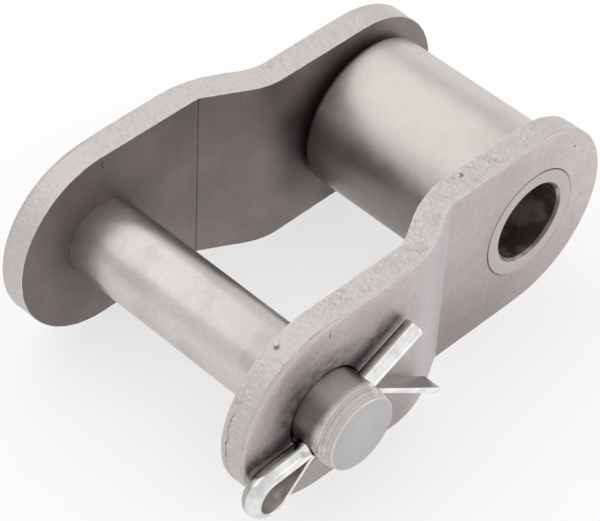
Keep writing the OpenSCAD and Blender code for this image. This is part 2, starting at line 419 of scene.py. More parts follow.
def shaded_inner_face(sizes, colours):
    """Inner face, made dark as painted shade: soft darker clouds, oil and painted shade round the pin,
    painted shade by the roller and towards the pin end, and a black line of painted shade in the bend.
    """
    finish = Finish("inner_face")
    cloud = finish.grain(5 * MM, 4.0)
    grain = finish.grain(0.22 * MM, 2.0)
    wiped = finish.grain(3 * MM, 3.0, finish.stretch((1.0, 1.0, 0.12)))
    parts = finish.axes()
    # Painted shade: a dark line along the crease of the inner bend.
    line = PIN_X + Crank(sizes).crease
    bend = 1 - abs(parts["X"] - line).rise(0.02 * MM, 0.09 * MM)
    reach = axis_reach(parts, PIN_X)
    pin_oil_and_shade = 1 - (reach + 2 * MM * (cloud - 0.5)).rise(PIN_R, PIN_R + 5 * MM)
    seam = 1 - reach.rise(PIN_R + 0.1 * MM, PIN_R + 0.2 * MM)
    # Painted shade where the roller stands close to the inner face, on its pin side.
    bush_reach = axis_reach(parts, 0.0)
    roller_shade = 1 - (bush_reach + 2 * MM * (cloud - 0.5)).rise(ROLLER_R, ROLLER_R + 5 * MM)
    roller_shade = roller_shade * (1 - parts["X"].rise(-2 * MM, 5 * MM))
    tint = finish.mix(cloud.rise(0.34, 0.66), colours.inner_shade_cloud, colours.inner)
    # Painted shade: darker towards the pin end.
    pin_end_shade = 0.82 + 0.18 * parts["X"].rise(PIN_X - 3 * MM, PIN_X + 7 * MM)
    level = (0.74 + 0.24 * grain + 0.28 * wiped) * (1 - 0.3 * pin_oil_and_shade) * (1 - 0.45 * roller_shade) * pin_end_shade
    tint = finish.shade(tint, level * (1 - 0.5 * bend) * (1 - 0.85 * seam))
    return finish.metal(tint, 0.44 + 0.16 * cloud, finish.bump(grain, 0.03 * MM, 0.5))


def torn_edge(name, sizes, colours, crumbly, nubs=(), crack=None):
    """Blanked edge: slanted tears with crumbs up to a ragged lip, then the bright, burnished die roll;
    raised crumbs get painted highlights, hollows painted shade, and nubs a painted shadow.
    """
    finish = Finish(name)
    along = finish.node("ShaderNodeUVMap", {"uv_map": "edge"})["UV"]
    parts = finish.node("ShaderNodeSeparateXYZ", None, {0: along})
    link_x = finish.axes()["X"]
    straight = link_x.rise(PIN_X - ROLL_FADE, PIN_X + 2 * ROLL_FADE)
    straight = straight * (1 - link_x.rise(-ROLL_FADE, 2 * ROLL_FADE))
    roll = sizes.die_roll - (sizes.die_roll - sizes.straight_roll) * straight
    wander = finish.grain(0.6 * MM, 4.0, along, 0.6) - 0.5
    past_lip = parts[1] + 0.5 * MM * wander + roll - PLATE_T
    rolled = past_lip.rise(-0.04 * MM, 0.04 * MM)
    broken = finish.grain(2.2 * MM, 3.0)
    lip = (1 - abs(past_lip).rise(0.0, 0.08 * MM)) * (broken + 0.1 * straight).rise(0.46, 0.60)
    slant = {"Vector": along, "Rotation": (0.0, 0.0, math.radians(28)), "Scale": (1.7, 0.6, 1.0)}
    strokes = finish.node("ShaderNodeMapping", None, slant)[0]
    tears = finish.grain(0.5 * MM, 4.0, strokes, 0.6)
    patch = finish.grain(4 * MM, 3.0).rise(0.34, 0.62)
    crumbs = finish.grain(0.26 * MM, 3.0, along, 0.65)
    inner_side = 1 - parts[1].rise(1.0 * MM, 2.2 * MM)
    holes = (1 - crumbs.rise(0.30, 0.37)) * (0.2 + 0.8 * patch) * (0.2 + 0.8 * inner_side)
    flecks = crumbs.rise(0.60, 0.68) * (0.3 + 0.7 * patch) * (0.3 + 0.7 * inner_side)
    grain = finish.grain(0.19 * MM, 2.0)
    burr = (1 - (parts[1] + 0.2 * MM * wander).rise(0.06 * MM, 0.16 * MM)) * broken.rise(0.36, 0.5)
    tint = finish.mix(finish.grain(0.8 * MM, 3.0, strokes).rise(0.4, 0.62), colours.torn, colours.cream)
    tint = finish.shade(tint, 0.75 + 0.40 * tears + 0.36 * crumbly * flecks)
    tint = finish.mix(holes * (0.75 * crumbly), tint, colours.pit)
    tint = finish.mix(burr * 0.6, tint, colours.lip)
    relief = finish.node("ShaderNodeAttribute", {"attribute_name": "relief"})["Fac"]
    # Painted light: raised crumbs and nubs are made lighter and hollows darker, following the relief.
    tint = finish.mix((1 - relief.rise(-0.3, -0.1)) * 0.16, tint, colours.pit)
    tint = finish.mix(relief.rise(0.12, 0.4) * (0.55 * crumbly), tint, colours.lip)
    tint = finish.mix(rolled, tint, finish.shade(colours.plate, 0.84 + 0.4 * grain))
    dark_lip = finish.shade(colours.torn, 0.45 + 0.4 * tears)
    light_lip = finish.shade(colours.lip, 1.0 + 0.3 * grain)
    tint = finish.mix(lip * 0.8, tint, finish.mix(straight, dark_lip, light_lip))
    height = (tears + 0.6 * crumbs) * (1 - rolled) + 0.25 * grain + 0.4 * lip
    for nub in nubs:
        # Each nub gets a dark patch beside it, painted as its crack and its shadow.
        crown = finish.distance(along, (nub.run, nub.depth, 0.0)).rise(0.5 * nub.radius, 0.9 * nub.radius)
        opening = (nub.run + nub.crack[0], nub.depth + nub.crack[1], 0.0)
        gap = (1 - finish.distance(along, opening).rise(0.4 * nub.radius, 0.9 * nub.radius)) * crown
        tint = finish.mix(gap * 0.8, tint, colours.pit)
    if crack:
        low, high, depth = crack
        meander = finish.grain(1.1 * MM, 4.0, along, 0.6) - 0.5
        gap = 1 - abs(parts[1] - depth + 0.7 * MM * meander).rise(0.02 * MM, 0.06 * MM)
        gap = gap * parts[0].rise(low, low + 2 * MM) * (1 - parts[0].rise(high - 2 * MM, high))
        tint = finish.mix(gap * 0.85, tint, colours.pit)
        height = height - gap
    rough = 0.44 + 0.12 * tears
    return finish.metal(tint, rough, finish.bump(height, 0.08 * MM, 0.8))


def turned_surface(finish, colours):
    """Turned and tumbled steel: faint rings, thin clouds of dry oil, a few specks and small knocks."""
    rings = finish.grain(0.11 * MM, 2.0, finish.stretch((0.12, 1.0, 0.12)))
    cloud = finish.grain(3.5 * MM, 4.0)
    grain = finish.grain(0.22 * MM, 3.0)
    knocks = finish.grain(0.8 * MM, 3.0).rise(0.60, 0.72)
    specks = finish.specks(5 * MM).rise(0.008, 0.02)
    tint = finish.mix(cloud.rise(0.30, 0.56), colours.smear, colours.turned)
    tint = finish.shade(tint, 0.80 + 0.16 * rings + 0.24 * grain)
    tint = finish.mix(specks, colours.pit, tint)
    rough = 0.26 + 0.10 * cloud + 0.06 * knocks
    height = 0.5 * rings + 0.5 * grain - 0.4 * knocks + 0.6 * specks
    return tint, rough, height, cloud


def roller_steel(colours):
    """Roller: turned and tumbled all over, with one side darkened as painted shade."""
    finish = Finish("roller_steel")
    tint, rough, height, cloud = turned_surface(finish, colours)
    parts = finish.axes()
    lean = (parts["X"] * ROLLER_SHADED_SIDE[0] + parts["Z"] * ROLLER_SHADED_SIDE[1]) / ROLLER_R
    tint = finish.mix(0.5, tint, colours.film)
    # Painted shade: the side towards the pin, a little below the axis, is darkened and turns with the
    # roller.
    tint = finish.shade(tint, 1 - 0.54 * (lean + 0.3 * (cloud - 0.5)).rise(0.74, 0.95))
    return finish.metal(tint, rough + 0.06, finish.bump(height, 0.014 * MM, 0.8))


def pin_steel(sizes, split, colours):
    """Pin: a stub darkened by oil and painted shadow and lightened on top by painted light, tool marks on
    its taper, a painted highlight round the rim of its end, and a cross hole painted black as painted
    shade.
    """
    finish = Finish("pin_steel")
    tint, rough, height, cloud = turned_surface(finish, colours)
    parts = finish.axes()
    along = parts["Y"]
    shoulder = PIN_LOW.y + sizes.nose
    # The stub between the taper and the near plate is darkened by oil and painted shadow.
    off_stub = 1 - (along + 1.6 * MM * (cloud - 0.5)).rise(shoulder - 0.1 * MM, shoulder + 1.1 * MM)
    off_stub = (off_stub + along.rise(-PLATE_HIGH.y, -PLATE_HIGH.y + PLATE_T)).rise(0.0, 1.0)
    marks = finish.lines(along, 0.13 * MM)
    taper = 1 - along.rise(shoulder, shoulder + 0.2 * MM)
    end_face = 1 - along.rise(PIN_LOW.y + 0.02 * MM, PIN_LOW.y + 0.06 * MM)
    marked = taper * (1 - end_face) * (1 - marks.rise(0.42, 0.54))
    tint = finish.mix(end_face, tint, finish.shade(colours.cut_end, 0.85 + 0.3 * cloud))
    # On the stub, painted light makes the top lighter than the sides below.
    stub_oil_and_shade = 0.25 + 0.28 * parts["Z"].rise(0.72 * PIN_R, 0.98 * PIN_R)
    level = (stub_oil_and_shade + (1 - stub_oil_and_shade) * off_stub) * (1 - 0.24 * marked) * (1 + 0.16 * taper * (1 - end_face))
    # Painted shade: the walls of the cross hole are made nearly black.
    above = above_legs(parts, split) + sizes.hole_drop
    beside = along - SPLIT_Y
    hole_r = sizes.cross_hole / 2
    hole = 1 - ((above * above + beside * beside) ** 0.5).rise(hole_r, hole_r + 0.06 * MM)
    tint = finish.shade(tint, level * (1 - 0.85 * hole))
    # Painted highlight: a bright ring round the rim of the end face.
    rim_r = PIN_R - sizes.nose_drop - 0.04 * MM
    rim = 1 - abs(axis_reach(parts, PIN_X) - rim_r).rise(0.03 * MM, 0.09 * MM)
    rim = rim * (1 - along.rise(PIN_LOW.y + 0.08 * MM, PIN_LOW.y + 0.14 * MM))
    tint = finish.mix(rim * 0.8, tint, colours.lip)
    return finish.metal(tint, rough, finish.bump(height, 0.014 * MM, 0.8))


def bush_steel(colours):
    """Bush: ground end faces and chamfers, browned in the bore."""
    finish = Finish("bush_steel")
    parts = finish.axes()
    radius = axis_reach(parts, 0.0)
    rings = finish.lines(radius, 0.12 * MM)
    grain = finish.grain(0.16 * MM, 3.0)
    cloud = finish.grain(2.5 * MM, 4.0)
    inside = 1 - radius.rise(BORE_R + 0.22 * MM, BORE_R + 0.30 * MM)
    mouth = radius.rise(BORE_R + 0.01 * MM, BORE_R + 0.08 * MM)
    pressed = radius.rise(BUSH_R - 0.10 * MM, BUSH_R - 0.03 * MM)
    tint = finish.shade(colours.plate, (0.72 + 0.2 * rings + 0.3 * grain) * (1 - 0.5 * pressed))
    brown = finish.mix(cloud.rise(0.38, 0.62), colours.bore, colours.smear)
    tint = finish.mix(inside * 0.9, tint, finish.shade(brown, 0.5 + 0.3 * cloud + 0.15 * mouth))
    rough = 0.40 + 0.16 * cloud + 0.1 * inside
    return finish.metal(tint, rough, finish.bump(0.6 * rings + 0.5 * grain, 0.015 * MM, 0.8))


def in_eye(finish):
    """One in the round of the split pin's eye, nought along its legs."""
    along = finish.axes()["X"]
    return 1 - along.rise(PIN_X - 8.5 * MM, PIN_X - 6.5 * MM)


def bright_zinc(colours):
    """Round side of the plated wire: bright, with drawing lines where it rubs along the plate; its side
    towards the plate is darker as a painted reflection, and the eye a little darker.
    """
    finish = Finish("bright_zinc")
    lines = finish.grain(0.10 * MM, 3.0, finish.stretch((0.015, 1.0, 0.015)), 0.6)
    grain = finish.grain(0.12 * MM, 2.0)
    cloud = finish.grain(1.6 * MM, 3.0)
    across = finish.axes()["Y"] - SPLIT_Y
    scuffed = 0.12 + 0.88 * across.rise(-0.1 * WIRE_R, 0.1 * WIRE_R)
    tint = finish.mix((1 - lines.rise(0.36, 0.52)) * scuffed, colours.zinc, colours.scuff)
    level = 1.0 + 0.20 * grain - 0.16 * cloud.rise(0.4, 0.6)
    # Painted reflection: the side towards the plate is darker, as the plate would show in it; the eye is
    # also a little darker.
    level = level * (1 - 0.4 * across.rise(-0.1 * WIRE_R, 0.3 * WIRE_R)) * (1 - 0.17 * in_eye(finish))
    tint = finish.shade(tint, level)
    rough = 0.06 + 0.10 * cloud + 0.04 * grain
    return finish.metal(tint, rough, finish.bump(0.6 * lines + 0.3 * grain, 0.006 * MM, 0.6))


def dull_zinc(colours):
    """Flat of the wire, dulled by rolling: streaks along it and a brown film; inside the eye it is made far
    lighter as painted light.
    """
    finish = Finish("dull_zinc")
    streaks = finish.grain(0.3 * MM, 4.0, finish.stretch((0.12, 1.0, 0.12)), 0.6)
    cloud = finish.grain(1.2 * MM, 3.0)
    tint = finish.shade(colours.zinc_dull, 0.66 + 0.4 * streaks + 0.2 * cloud)
    # Painted light: inside the eye the flat is made far lighter and rougher than elsewhere.
    eye = in_eye(finish)
    tint = finish.mix(eye, tint, finish.shade(colours.eye, 0.62 + 0.7 * streaks))
    return finish.metal(tint, 0.22 + 0.16 * cloud + 0.22 * eye, finish.bump(streaks, 0.02 * MM, 0.7))


def plain_floor(colours):
    """Pale floor that still shows the link's shadow; most of what is seen of it is plain white."""
    finish = Finish("plain_floor")
    grain = finish.grain(2 * MM, 2.0)
    rays = finish.node("ShaderNodeLightPath")
    seen = rays["Is Camera Ray"] + rays["Is Glossy Ray"] + rays["Is Transmission Ray"]
    sockets = {"Base Color": finish.shade(colours.floor, 0.99 + 0.02 * grain), "Roughness": 0.8}
    paint = finish.node("ShaderNodeBsdfPrincipled", None, sockets)[0]
    white = finish.node("ShaderNodeEmission", None, {"Color": (1.0, 1.0, 1.0, 1.0), "Strength": 1.0})[0]
    surface = finish.node("ShaderNodeMixShader", None, {0: seen * FLOOR_WHITE, 1: paint, 2: white})[0]
    finish.node("ShaderNodeOutputMaterial", None, {"Surface": surface})
    return finish.material


def smooth_rise(value, low, high):
    share = min(max((value - low) / (high - low), 0.0), 1.0)
    return share * share * (3 - 2 * share)


def whole(bm):
    return bm.verts[:] + bm.edges[:] + bm.faces[:]


def close_up(bm):
    """Merges doubles and turns every face outwards."""
    bmesh.ops.remove_doubles(bm, verts=bm.verts, dist=WELD)
    bmesh.ops.recalc_face_normals(bm, faces=bm.faces)


def chain(bm, points, closed=False):
    """A row of joined vertices, given as verts and edges."""
    verts = [bm.verts.new(point) for point in points]
    pairs = list(zip(verts, verts[1:]))
    if closed:
        pairs.append((verts[-1], verts[0]))
    return verts + [bm.edges.new(pair) for pair in pairs]


def bevel(bm, geom, offset, segments, affect="EDGES"):
    bmesh.ops.bevel(
        bm, geom=geom, offset=offset, segments=segments, profile=0.5, affect=affect, material=-1
    )


def lathe(bm, profile, axis_x, steps, closed=False):
    """Spins a profile of (radius, y) pairs about an axis along Y."""
    made = chain(bm, [(axis_x + radius, y, 0.0) for radius, y in profile], closed)
    bmesh.ops.spin(
        bm,
        geom=made,
        cent=(axis_x, 0, 0),
        axis=(0, 1, 0),
        angle=2 * math.pi,
        steps=steps,
        use_merge=True,
    )


def round_rings(bm, axis_x, rings, offset, segments):
    """Bevels the edge rings that lie at the given (radius, y) pairs."""

    def lies_on(vert, ring):
        radius = math.hypot(vert.co.x - axis_x, vert.co.z)
        return abs(radius - ring[0]) < TOUCH and abs(vert.co.y - ring[1]) < TOUCH

    edges = [
        edge
        for edge in bm.edges
        if any(all(lies_on(vert, ring) for vert in edge.verts) for ring in rings)
    ]
    if not edges:
        raise RuntimeError("no edge ring to round")
    bevel(bm, edges, offset, segments)


def slide(bm, geom, step, steps):
    """Draws a row out in straight steps and gives the last row."""
    return bmesh.ops.spin(
        bm, geom=geom, cent=(0, 0, 0), axis=(0, 0, 1), dvec=step, angle=0.0, steps=steps
    )["geom_last"]


def add_object(name, data):
    made = bpy.data.objects.new(name, data)
    bpy.context.collection.objects.link(made)
    return made


def smooth_over(mesh, crease):
    """Smooth faces, with sharp edges from a crease angle on."""
    mesh.polygons.foreach_set("use_smooth", [True] * len(mesh.polygons))
    mesh.set_sharp_from_angle(angle=math.radians(crease))


def set_piece(bm, name, materials, node, body="link", crease=PIECE_CREASE):
    """Makes the object of a finished mesh, in place of its node."""
    mesh = bpy.data.meshes.new(name)
    bm.to_mesh(mesh)
    bm.free()
    for material in materials:
        mesh.materials.append(material)
    smooth_over(mesh, crease)
    piece = add_object(name, mesh)
    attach(piece, body)
    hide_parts(node)
    return piece


def end_axis(x):
    """The axis that the flat plate's outline is round about, next to a place along it."""
    return min(max(x, 0.0), PITCH)


def inset_of(co):
    """How far a point of the flat plate lies inside its outline."""
    return PLATE_R - math.hypot(co.x - end_axis(co.x), co.z)


def along_outline(co):
    """Distance along the outline, counted from the middle of the lower edge."""
    if co.x < 0:
        run = PLATE_R * (math.atan2(co.x, co.z) % (2 * math.pi))
        run = math.pi * PLATE_R - (run - math.pi * PLATE_R)
    elif co.x > PITCH:
        run = math.pi * PLATE_R + PITCH + PLATE_R * (math.pi - math.atan2(co.x - PITCH, co.z))
    elif co.z < 0:
        run = math.pi * PLATE_R + co.x
    else:
        run = 2 * math.pi * PLATE_R + 2 * PITCH - co.x
    return (run - math.pi * PLATE_R - PITCH / 2) % OUTLINE_LENGTH


class Crank:
    """The two bends of a side plate, as an offset that changes along it."""

    def __init__(self, sizes, soft=False):
        self.turn = sizes.crank_angle
        self.inside = sizes.bend_radius
        self.first = (sizes.soft_knee if soft else self.inside, sizes.bend_back)
        self.second = (sizes.soft_inner, sizes.soft_outer) if soft else (sizes.bend_back, self.inside)
        radii = 2 * self.inside + PLATE_T
        slope = (CRANK_STEP - radii * (1 - math.cos(self.turn))) / math.sin(self.turn)
        self.start = sizes.crank_start
        self.end = self.start + radii * math.sin(self.turn) + slope * math.cos(self.turn)
        self.high = PLATE_HIGH.y - PLATE_T
        self.low = self.high - CRANK_STEP
        self.crease = self.start + self.inside * math.tan(self.turn / 2)

    def bends(self, depth):
        """Start and radius of the first bend, then end and radius of the second, at a depth."""
        share = depth / PLATE_T
        first_r = self.first[0] + (self.first[1] - self.first[0]) * share
        second_r = self.second[0] + (self.second[1] - self.second[0]) * share
        half = math.tan(self.turn / 2)
        first = self.start + (self.inside + depth - first_r) * half
        second = self.end - (self.inside + PLATE_T - depth - second_r) * half
        return first, first_r, second, second_r

    def side(self, x, depth):
        """Distance from the link's middle plane, for a depth from the plate's inner face."""
        first, first_r, second, second_r = self.bends(depth)
        if x <= first:
            return self.high + depth
        if x >= second:
            return self.low + depth
        if x < first + first_r * math.sin(self.turn):
            run = x - first
            return self.high + depth - first_r + math.sqrt(first_r * first_r - run * run)
        if x > second - second_r * math.sin(self.turn):
            run = second - x
            return self.low + depth + second_r - math.sqrt(second_r * second_r - run * run)
        knee = first + first_r * math.tan(self.turn / 2)
        return self.high + depth - (x - knee) * math.tan(self.turn)

    def stations(self, steps=8):
        """Places along the plate where its faces are cut for the bends and the crease."""
        places = [self.crease + CREASE_HALF * step / 3 for step in range(-3, 4)]
        for depth in (0.0, PLATE_T):
            first, first_r, second, second_r = self.bends(depth)
            for step in range(steps + 1):
                run = math.sin(self.turn * step / steps)
                places += [first + first_r * run, second - second_r * run]
        return sorted(set(places))


def sweep_outline(bm, profile, step):
    """Takes a profile of (inset, depth) pairs once round the plate's outline."""
    made = chain(bm, [(0.0, depth, PLATE_R - inset) for inset, depth in profile])
    arc_steps = round(math.pi * PLATE_R / step)
    run_steps = round(PITCH / step)
    for axis_x, way in ((0.0, 1), (PITCH, -1)):
        made = bmesh.ops.spin(
            bm, geom=made, cent=(axis_x, 0, 0), axis=(0, 1, 0), angle=-math.pi, steps=arc_steps
        )["geom_last"]
        made = slide(bm, made, (way * PITCH / run_steps, 0, 0), run_steps)
    bmesh.ops.remove_doubles(bm, verts=bm.verts, dist=WELD)


def die_roll_at(sizes, x):
    """Width of the die roll at a place along the flat plate."""
    straight = smooth_rise(x, -ROLL_FADE, 2 * ROLL_FADE)
    straight *= 1 - smooth_rise(x, PITCH - ROLL_FADE, PITCH + 2 * ROLL_FADE)
    return sizes.die_roll - (sizes.die_roll - sizes.straight_roll) * straight


def outward_of(co):
    """Direction out of the flat plate's outline."""
    return Vector((co.x - end_axis(co.x), 0.0, co.z)).normalized()


def narrow_die_roll(bm, sizes):
    """Draws the die roll in towards the corner along the straight edges."""
    for vert in bm.verts:
        inset = inset_of(vert.co)
        drop = PLATE_T - vert.co.y
        if max(inset, drop) > sizes.die_roll + TOUCH:
            continue
        share = 1 - die_roll_at(sizes, vert.co.x) / sizes.die_roll
        vert.co += outward_of(vert.co) * (inset * share)
        vert.co.y += drop * share


def blank_plate(sizes, pin_hole_r):
    """A flat side plate with its holes and die roll. Y is the depth from its inner face."""
    bm = bmesh.new()
    rim = 1.3 * MM
    sweep_outline(bm, [(rim, 0.0), (0.0, 0.0), (0.0, PLATE_T), (rim, PLATE_T)], sizes.outline_step)

    def corner(depth):
        return [
            edge
            for edge in bm.edges
            if all(abs(v.co.y - depth) < WELD and inset_of(v.co) < TOUCH for v in edge.verts)
        ]

    bevel(bm, corner(PLATE_T), sizes.die_roll, 3)
    narrow_die_roll(bm, sizes)
    bevel(bm, corner(0.0), sizes.burr, 2)
    across = [
        edge
        for edge in bm.edges
        if abs(edge.verts[0].co.y - edge.verts[1].co.y) > PLATE_T / 2
    ]
    bmesh.ops.subdivide_edges(bm, edges=across, cuts=EDGE_CUTS, use_grid_fill=True)
    for face in bm.faces:
        depths = [vert.co.y for vert in face.verts]
        face.material_index = 1 if max(depths) - min(depths) > WELD else 0
    for axis_x, radius in ((0.0, pin_hole_r), (PITCH, BUSH_R)):
        wide = radius + sizes.hole_break
        margin = wide + 0.4 * MM
        wall = [
            (margin, 0.0),
            (wide, 0.0),
            (radius, sizes.hole_break),
            (radius, PLATE_T - sizes.hole_break),
            (wide, PLATE_T),
            (margin, PLATE_T),
        ]
        lathe(bm, wall, axis_x, HOLE_STEPS)
    for depth in (0.0, PLATE_T):
        border = [e for e in bm.edges if e.is_boundary and all(abs(v.co.y - depth) < WELD for v in e.verts)]
        bmesh.ops.triangle_fill(bm, use_beauty=True, edges=border)
    for face in bm.faces:
        if all(abs(vert.co.y) < WELD for vert in face.verts):
            face.material_index = 2
    return bm


def roughen_edge(bm, sizes, seed, nubs, tear):
    """Tears the blanked edge, raises its lip and burr and leaves crumbs and nubs."""
    relief = bm.verts.layers.float.new("relief")
    for vert in bm.verts:
        inset = inset_of(vert.co)
        if inset > sizes.die_roll + TOUCH:
            continue
        depth = vert.co.y
        lip_depth = PLATE_T - die_roll_at(sizes, vert.co.x)
        run = along_outline(vert.co)
        ragged = 0.30 * MM * noise.noise(Vector((run * 900, seed, 0.0)))
        torn = 1 - smooth_rise(depth + ragged, lip_depth - 0.5 * MM, lip_depth - 0.15 * MM)
        coarse = noise.noise(Vector((run * 1500 + depth * 900, depth * 700, seed)))
        fine = noise.noise(Vector((run, depth, seed)) * 3600)
        crumb = max(0.0, noise.noise(Vector((run, depth, seed + 5)) * 2600) - 0.2)
        crumb *= 1 - smooth_rise(depth, 1.2 * MM, 2.2 * MM)
        patch = 0.6 + 0.8 * noise.noise(Vector((run * 160, 1.0, seed)))
        lift = torn * patch * (0.6 * min(coarse, 0.25) + 0.3 * fine + 2.2 * crumb)
        rise = tear * (lift - 0.35 * torn + 0.04 * fine)
        near_lip = 1 - smooth_rise(abs(depth + 0.3 * ragged - lip_depth), 0.0, 0.2 * MM)
        rise += sizes.lip * near_lip * (0.5 + noise.noise(Vector((run * 1100, 7.0, seed))))
        uneven = max(0.6, 1 + 1.1 * fine + 0.9 * coarse)
        for nub in nubs:
            gap = math.hypot(0.7 * (run - nub.run), depth - nub.depth) * uneven
            lump = 1 - smooth_rise(gap, 0.45 * nub.radius, 0.8 * nub.radius)
            rise += nub.height * lump
            lift += 0.3 * lump
        vert[relief] = lift
        share = 1 - smooth_rise(inset, 0.1 * MM, sizes.die_roll)
        vert.co += outward_of(vert.co) * (rise * share)
        if depth < 1.5 * sizes.burr:
            vert.co.y -= sizes.burr * max(0.0, noise.noise(Vector((run * 1300, 3.0, seed))))


def refine_nubs(bm, nubs):
    """Cuts the edge finer where a nub will stand."""
    for nub in nubs:
        edges = [
            edge
            for edge in bm.edges
            if all(
                inset_of(vert.co) < TOUCH
                and math.hypot(along_outline(vert.co) - nub.run, vert.co.y - nub.depth) < 1.5 * nub.radius
                for vert in edge.verts
            )
        ]
        bmesh.ops.subdivide_edges(bm, edges=edges, cuts=2, use_grid_fill=True)


def map_edge(bm):
    """UV map in metres: along the outline, and across the edge from the inner face."""
    layer = bm.loops.layers.uv.new("edge")
    for face in bm.faces:
        runs = [along_outline(loop.vert.co) for loop in face.loops]
        wraps = max(runs) - min(runs) > OUTLINE_LENGTH / 2
        for loop, run in zip(face.loops, runs):
            if wraps and run < OUTLINE_LENGTH / 2:
                run += OUTLINE_LENGTH
            loop[layer].uv = (run, loop.vert.co.y)


def side_plate(sizes, side, pin_hole_r, seed, tear, nubs=(), soft=False):
    """Blanks a plate, tears its edge and cranks it."""
    crank = Crank(sizes, soft)
    bm = blank_plate(sizes, pin_hole_r)
    for x in crank.stations():
        bmesh.ops.bisect_plane(bm, geom=whole(bm), dist=WELD, plane_co=(x, 0, 0), plane_no=(1, 0, 0))
    close_up(bm)
    refine_nubs(bm, nubs)
    map_edge(bm)
    roughen_edge(bm, sizes, seed, nubs, tear)
    for vert in bm.verts:
        depth = vert.co.y
        if depth < sizes.burr:
            away = abs(vert.co.x - crank.crease) / CREASE_HALF
            depth += sizes.crease * max(0.0, 1 - away)
        vert.co.y = side * crank.side(vert.co.x, depth)
        vert.co.x += PIN_X
    bmesh.ops.recalc_face_normals(bm, faces=bm.faces)
    return bm


class PieceMaker:
    """What the operators of the pieces share."""

    def execute(self, context):
        self.make(context.scene.chain_link)
        return {"FINISHED"}


class CHAINLINK_OT_side_plates(PieceMaker, Operator):
    """Blank, drill and crank the two side plates"""

    bl_idname = "chain_link.side_plates"
    bl_label = "Side Plates"

    def make(self, settings):
        sizes = settings.plates
        colours = settings.colours
        top = along_outline(Vector((21.4 * MM, 0.0, PLATE_R)))
        shoulder = along_outline(Vector((-4.0 * MM, 0.0, 8.83 * MM)))
        nubs = [
            Nub(top, 0.55 * MM, 0.40 * MM, 0.15 * MM, (-0.36 * MM, 0.16 * MM)),
            Nub(shoulder, 0.5 * MM, 0.36 * MM, 0.10 * MM, (0.24 * MM, 0.26 * MM)),
        ]
        outer_face = blasted_face(sizes, settings.split_pin, colours)
        inner_face = shaded_inner_face(sizes, colours)
        near_edge = torn_edge("near_edge", sizes, colours, 1.0, nubs, EDGE_CRACK)
        far_edge = torn_edge("far_edge", sizes, colours, 0.3)
        near = side_plate(sizes, -1, PIN_R + sizes.pin_slip, NEAR_SEED, sizes.near_tear, nubs)
        far = side_plate(sizes, 1, PIN_R, FAR_SEED, sizes.far_tear, soft=True)
        faces = (outer_face, near_edge, inner_face)
        set_piece(near, "near_side_plate", faces, "near_plate", crease=PLATE_CREASE)
        faces = (outer_face, far_edge, inner_face)
        set_piece(far, "far_side_plate", faces, "far_plate", crease=PLATE_CREASE)


class CHAINLINK_OT_bush(PieceMaker, Operator):
    """Turn the bush that joins the plates at the narrow end"""

    bl_idname = "chain_link.bush"
    bl_label = "Bush"

    def make(self, settings):
        chamfer = settings.turned.bush_chamfer
        end = BUSH_HIGH.y
        mouth = BORE_R + chamfer
        bm = bmesh.new()
        half = [(BORE_R, end - chamfer), (mouth, end), (BUSH_R, end)]
        lathe(bm, half + [(r, -y) for r, y in reversed(half)], 0.0, BUSH_STEPS, closed=True)
        round_rings(bm, 0.0, [(BUSH_R, end), (BUSH_R, -end)], settings.turned.bush_break, 3)
        round_rings(bm, 0.0, [(mouth, end), (mouth, -end)], 0.05 * MM, 2)
        close_up(bm)
        set_piece(bm, "bush_tube", [bush_steel(settings.colours)], "bush")


class CHAINLINK_OT_roller(PieceMaker, Operator):
    """Turn the roller that spins on the bush"""

    bl_idname = "chain_link.roller"
    bl_label = "Roller"

    def make(self, settings):
        bore = BUSH_R + settings.turned.roller_play / 2
        low, high = ROLLER_LOW.y, ROLLER_HIGH.y
        bm = bmesh.new()
        profile = [(bore, low), (ROLLER_R, low), (ROLLER_R, high), (bore, high)]
        lathe(bm, profile, 0.0, ROLLER_STEPS, closed=True)
        round_rings(bm, 0.0, [(ROLLER_R, low), (ROLLER_R, high)], settings.turned.roller_edge, 8)
        round_rings(bm, 0.0, [(bore, low), (bore, high)], 0.1 * MM, 2)
        close_up(bm)
        material = roller_steel(settings.colours)
        set_piece(bm, "roller_ring", [material], "roller", body="roller")


def pin_profile(sizes):
    """Half section of the pin as (radius, y) pairs, from its free end to the top of its head."""
    nose_r = PIN_R - sizes.nose_drop
    far_face = PLATE_HIGH.y
    profile = [(0.0, PIN_LOW.y), (nose_r - 0.25 * MM, PIN_LOW.y)]
    for mark in range(2 * NOSE_MARKS + 1):
        share = mark / (2 * NOSE_MARKS)
        cut = sizes.nose_groove if mark % 2 else 0.0
        profile.append((nose_r + sizes.nose_drop * share - cut, PIN_LOW.y + sizes.nose * share))
    dome_h = PIN_HIGH.y - far_face - sizes.head_rim
    profile += [(PIN_R, far_face), (HEAD_R, far_face), (HEAD_R, far_face + sizes.head_rim)]
    for share in (0.9, 0.75, 0.55, 0.3, 0.0):
        profile.append((HEAD_R * share, PIN_HIGH.y - dome_h * share * share))
    return profile


def split_turn(sizes):
    """From the split pin's own plane to its place across the pin."""
    lay = Matrix.Rotation(math.pi, 4, "Z") @ Matrix.Rotation(-math.pi / 2, 4, "X")
    return Matrix.Translation((PIN_X, SPLIT_Y, 0.0)) @ Matrix.Rotation(-sizes.tilt, 4, "Y") @ lay


def cut_away(piece, cutter):
    """Cuts one mesh out of another and removes the cutter."""
    tool = add_object("cutter", cutter)
    cut = piece.modifiers.new("cut", "BOOLEAN")
    cut.operation = "DIFFERENCE"
    cut.solver = "EXACT"
    cut.object = tool
    graph = bpy.context.evaluated_depsgraph_get()
    mesh = bpy.data.meshes.new_from_object(piece.evaluated_get(graph))
    old = piece.data
    piece.modifiers.clear()
    piece.data = mesh
    bpy.data.meshes.remove(old)
    bpy.data.objects.remove(tool)
    bpy.data.meshes.remove(cutter)


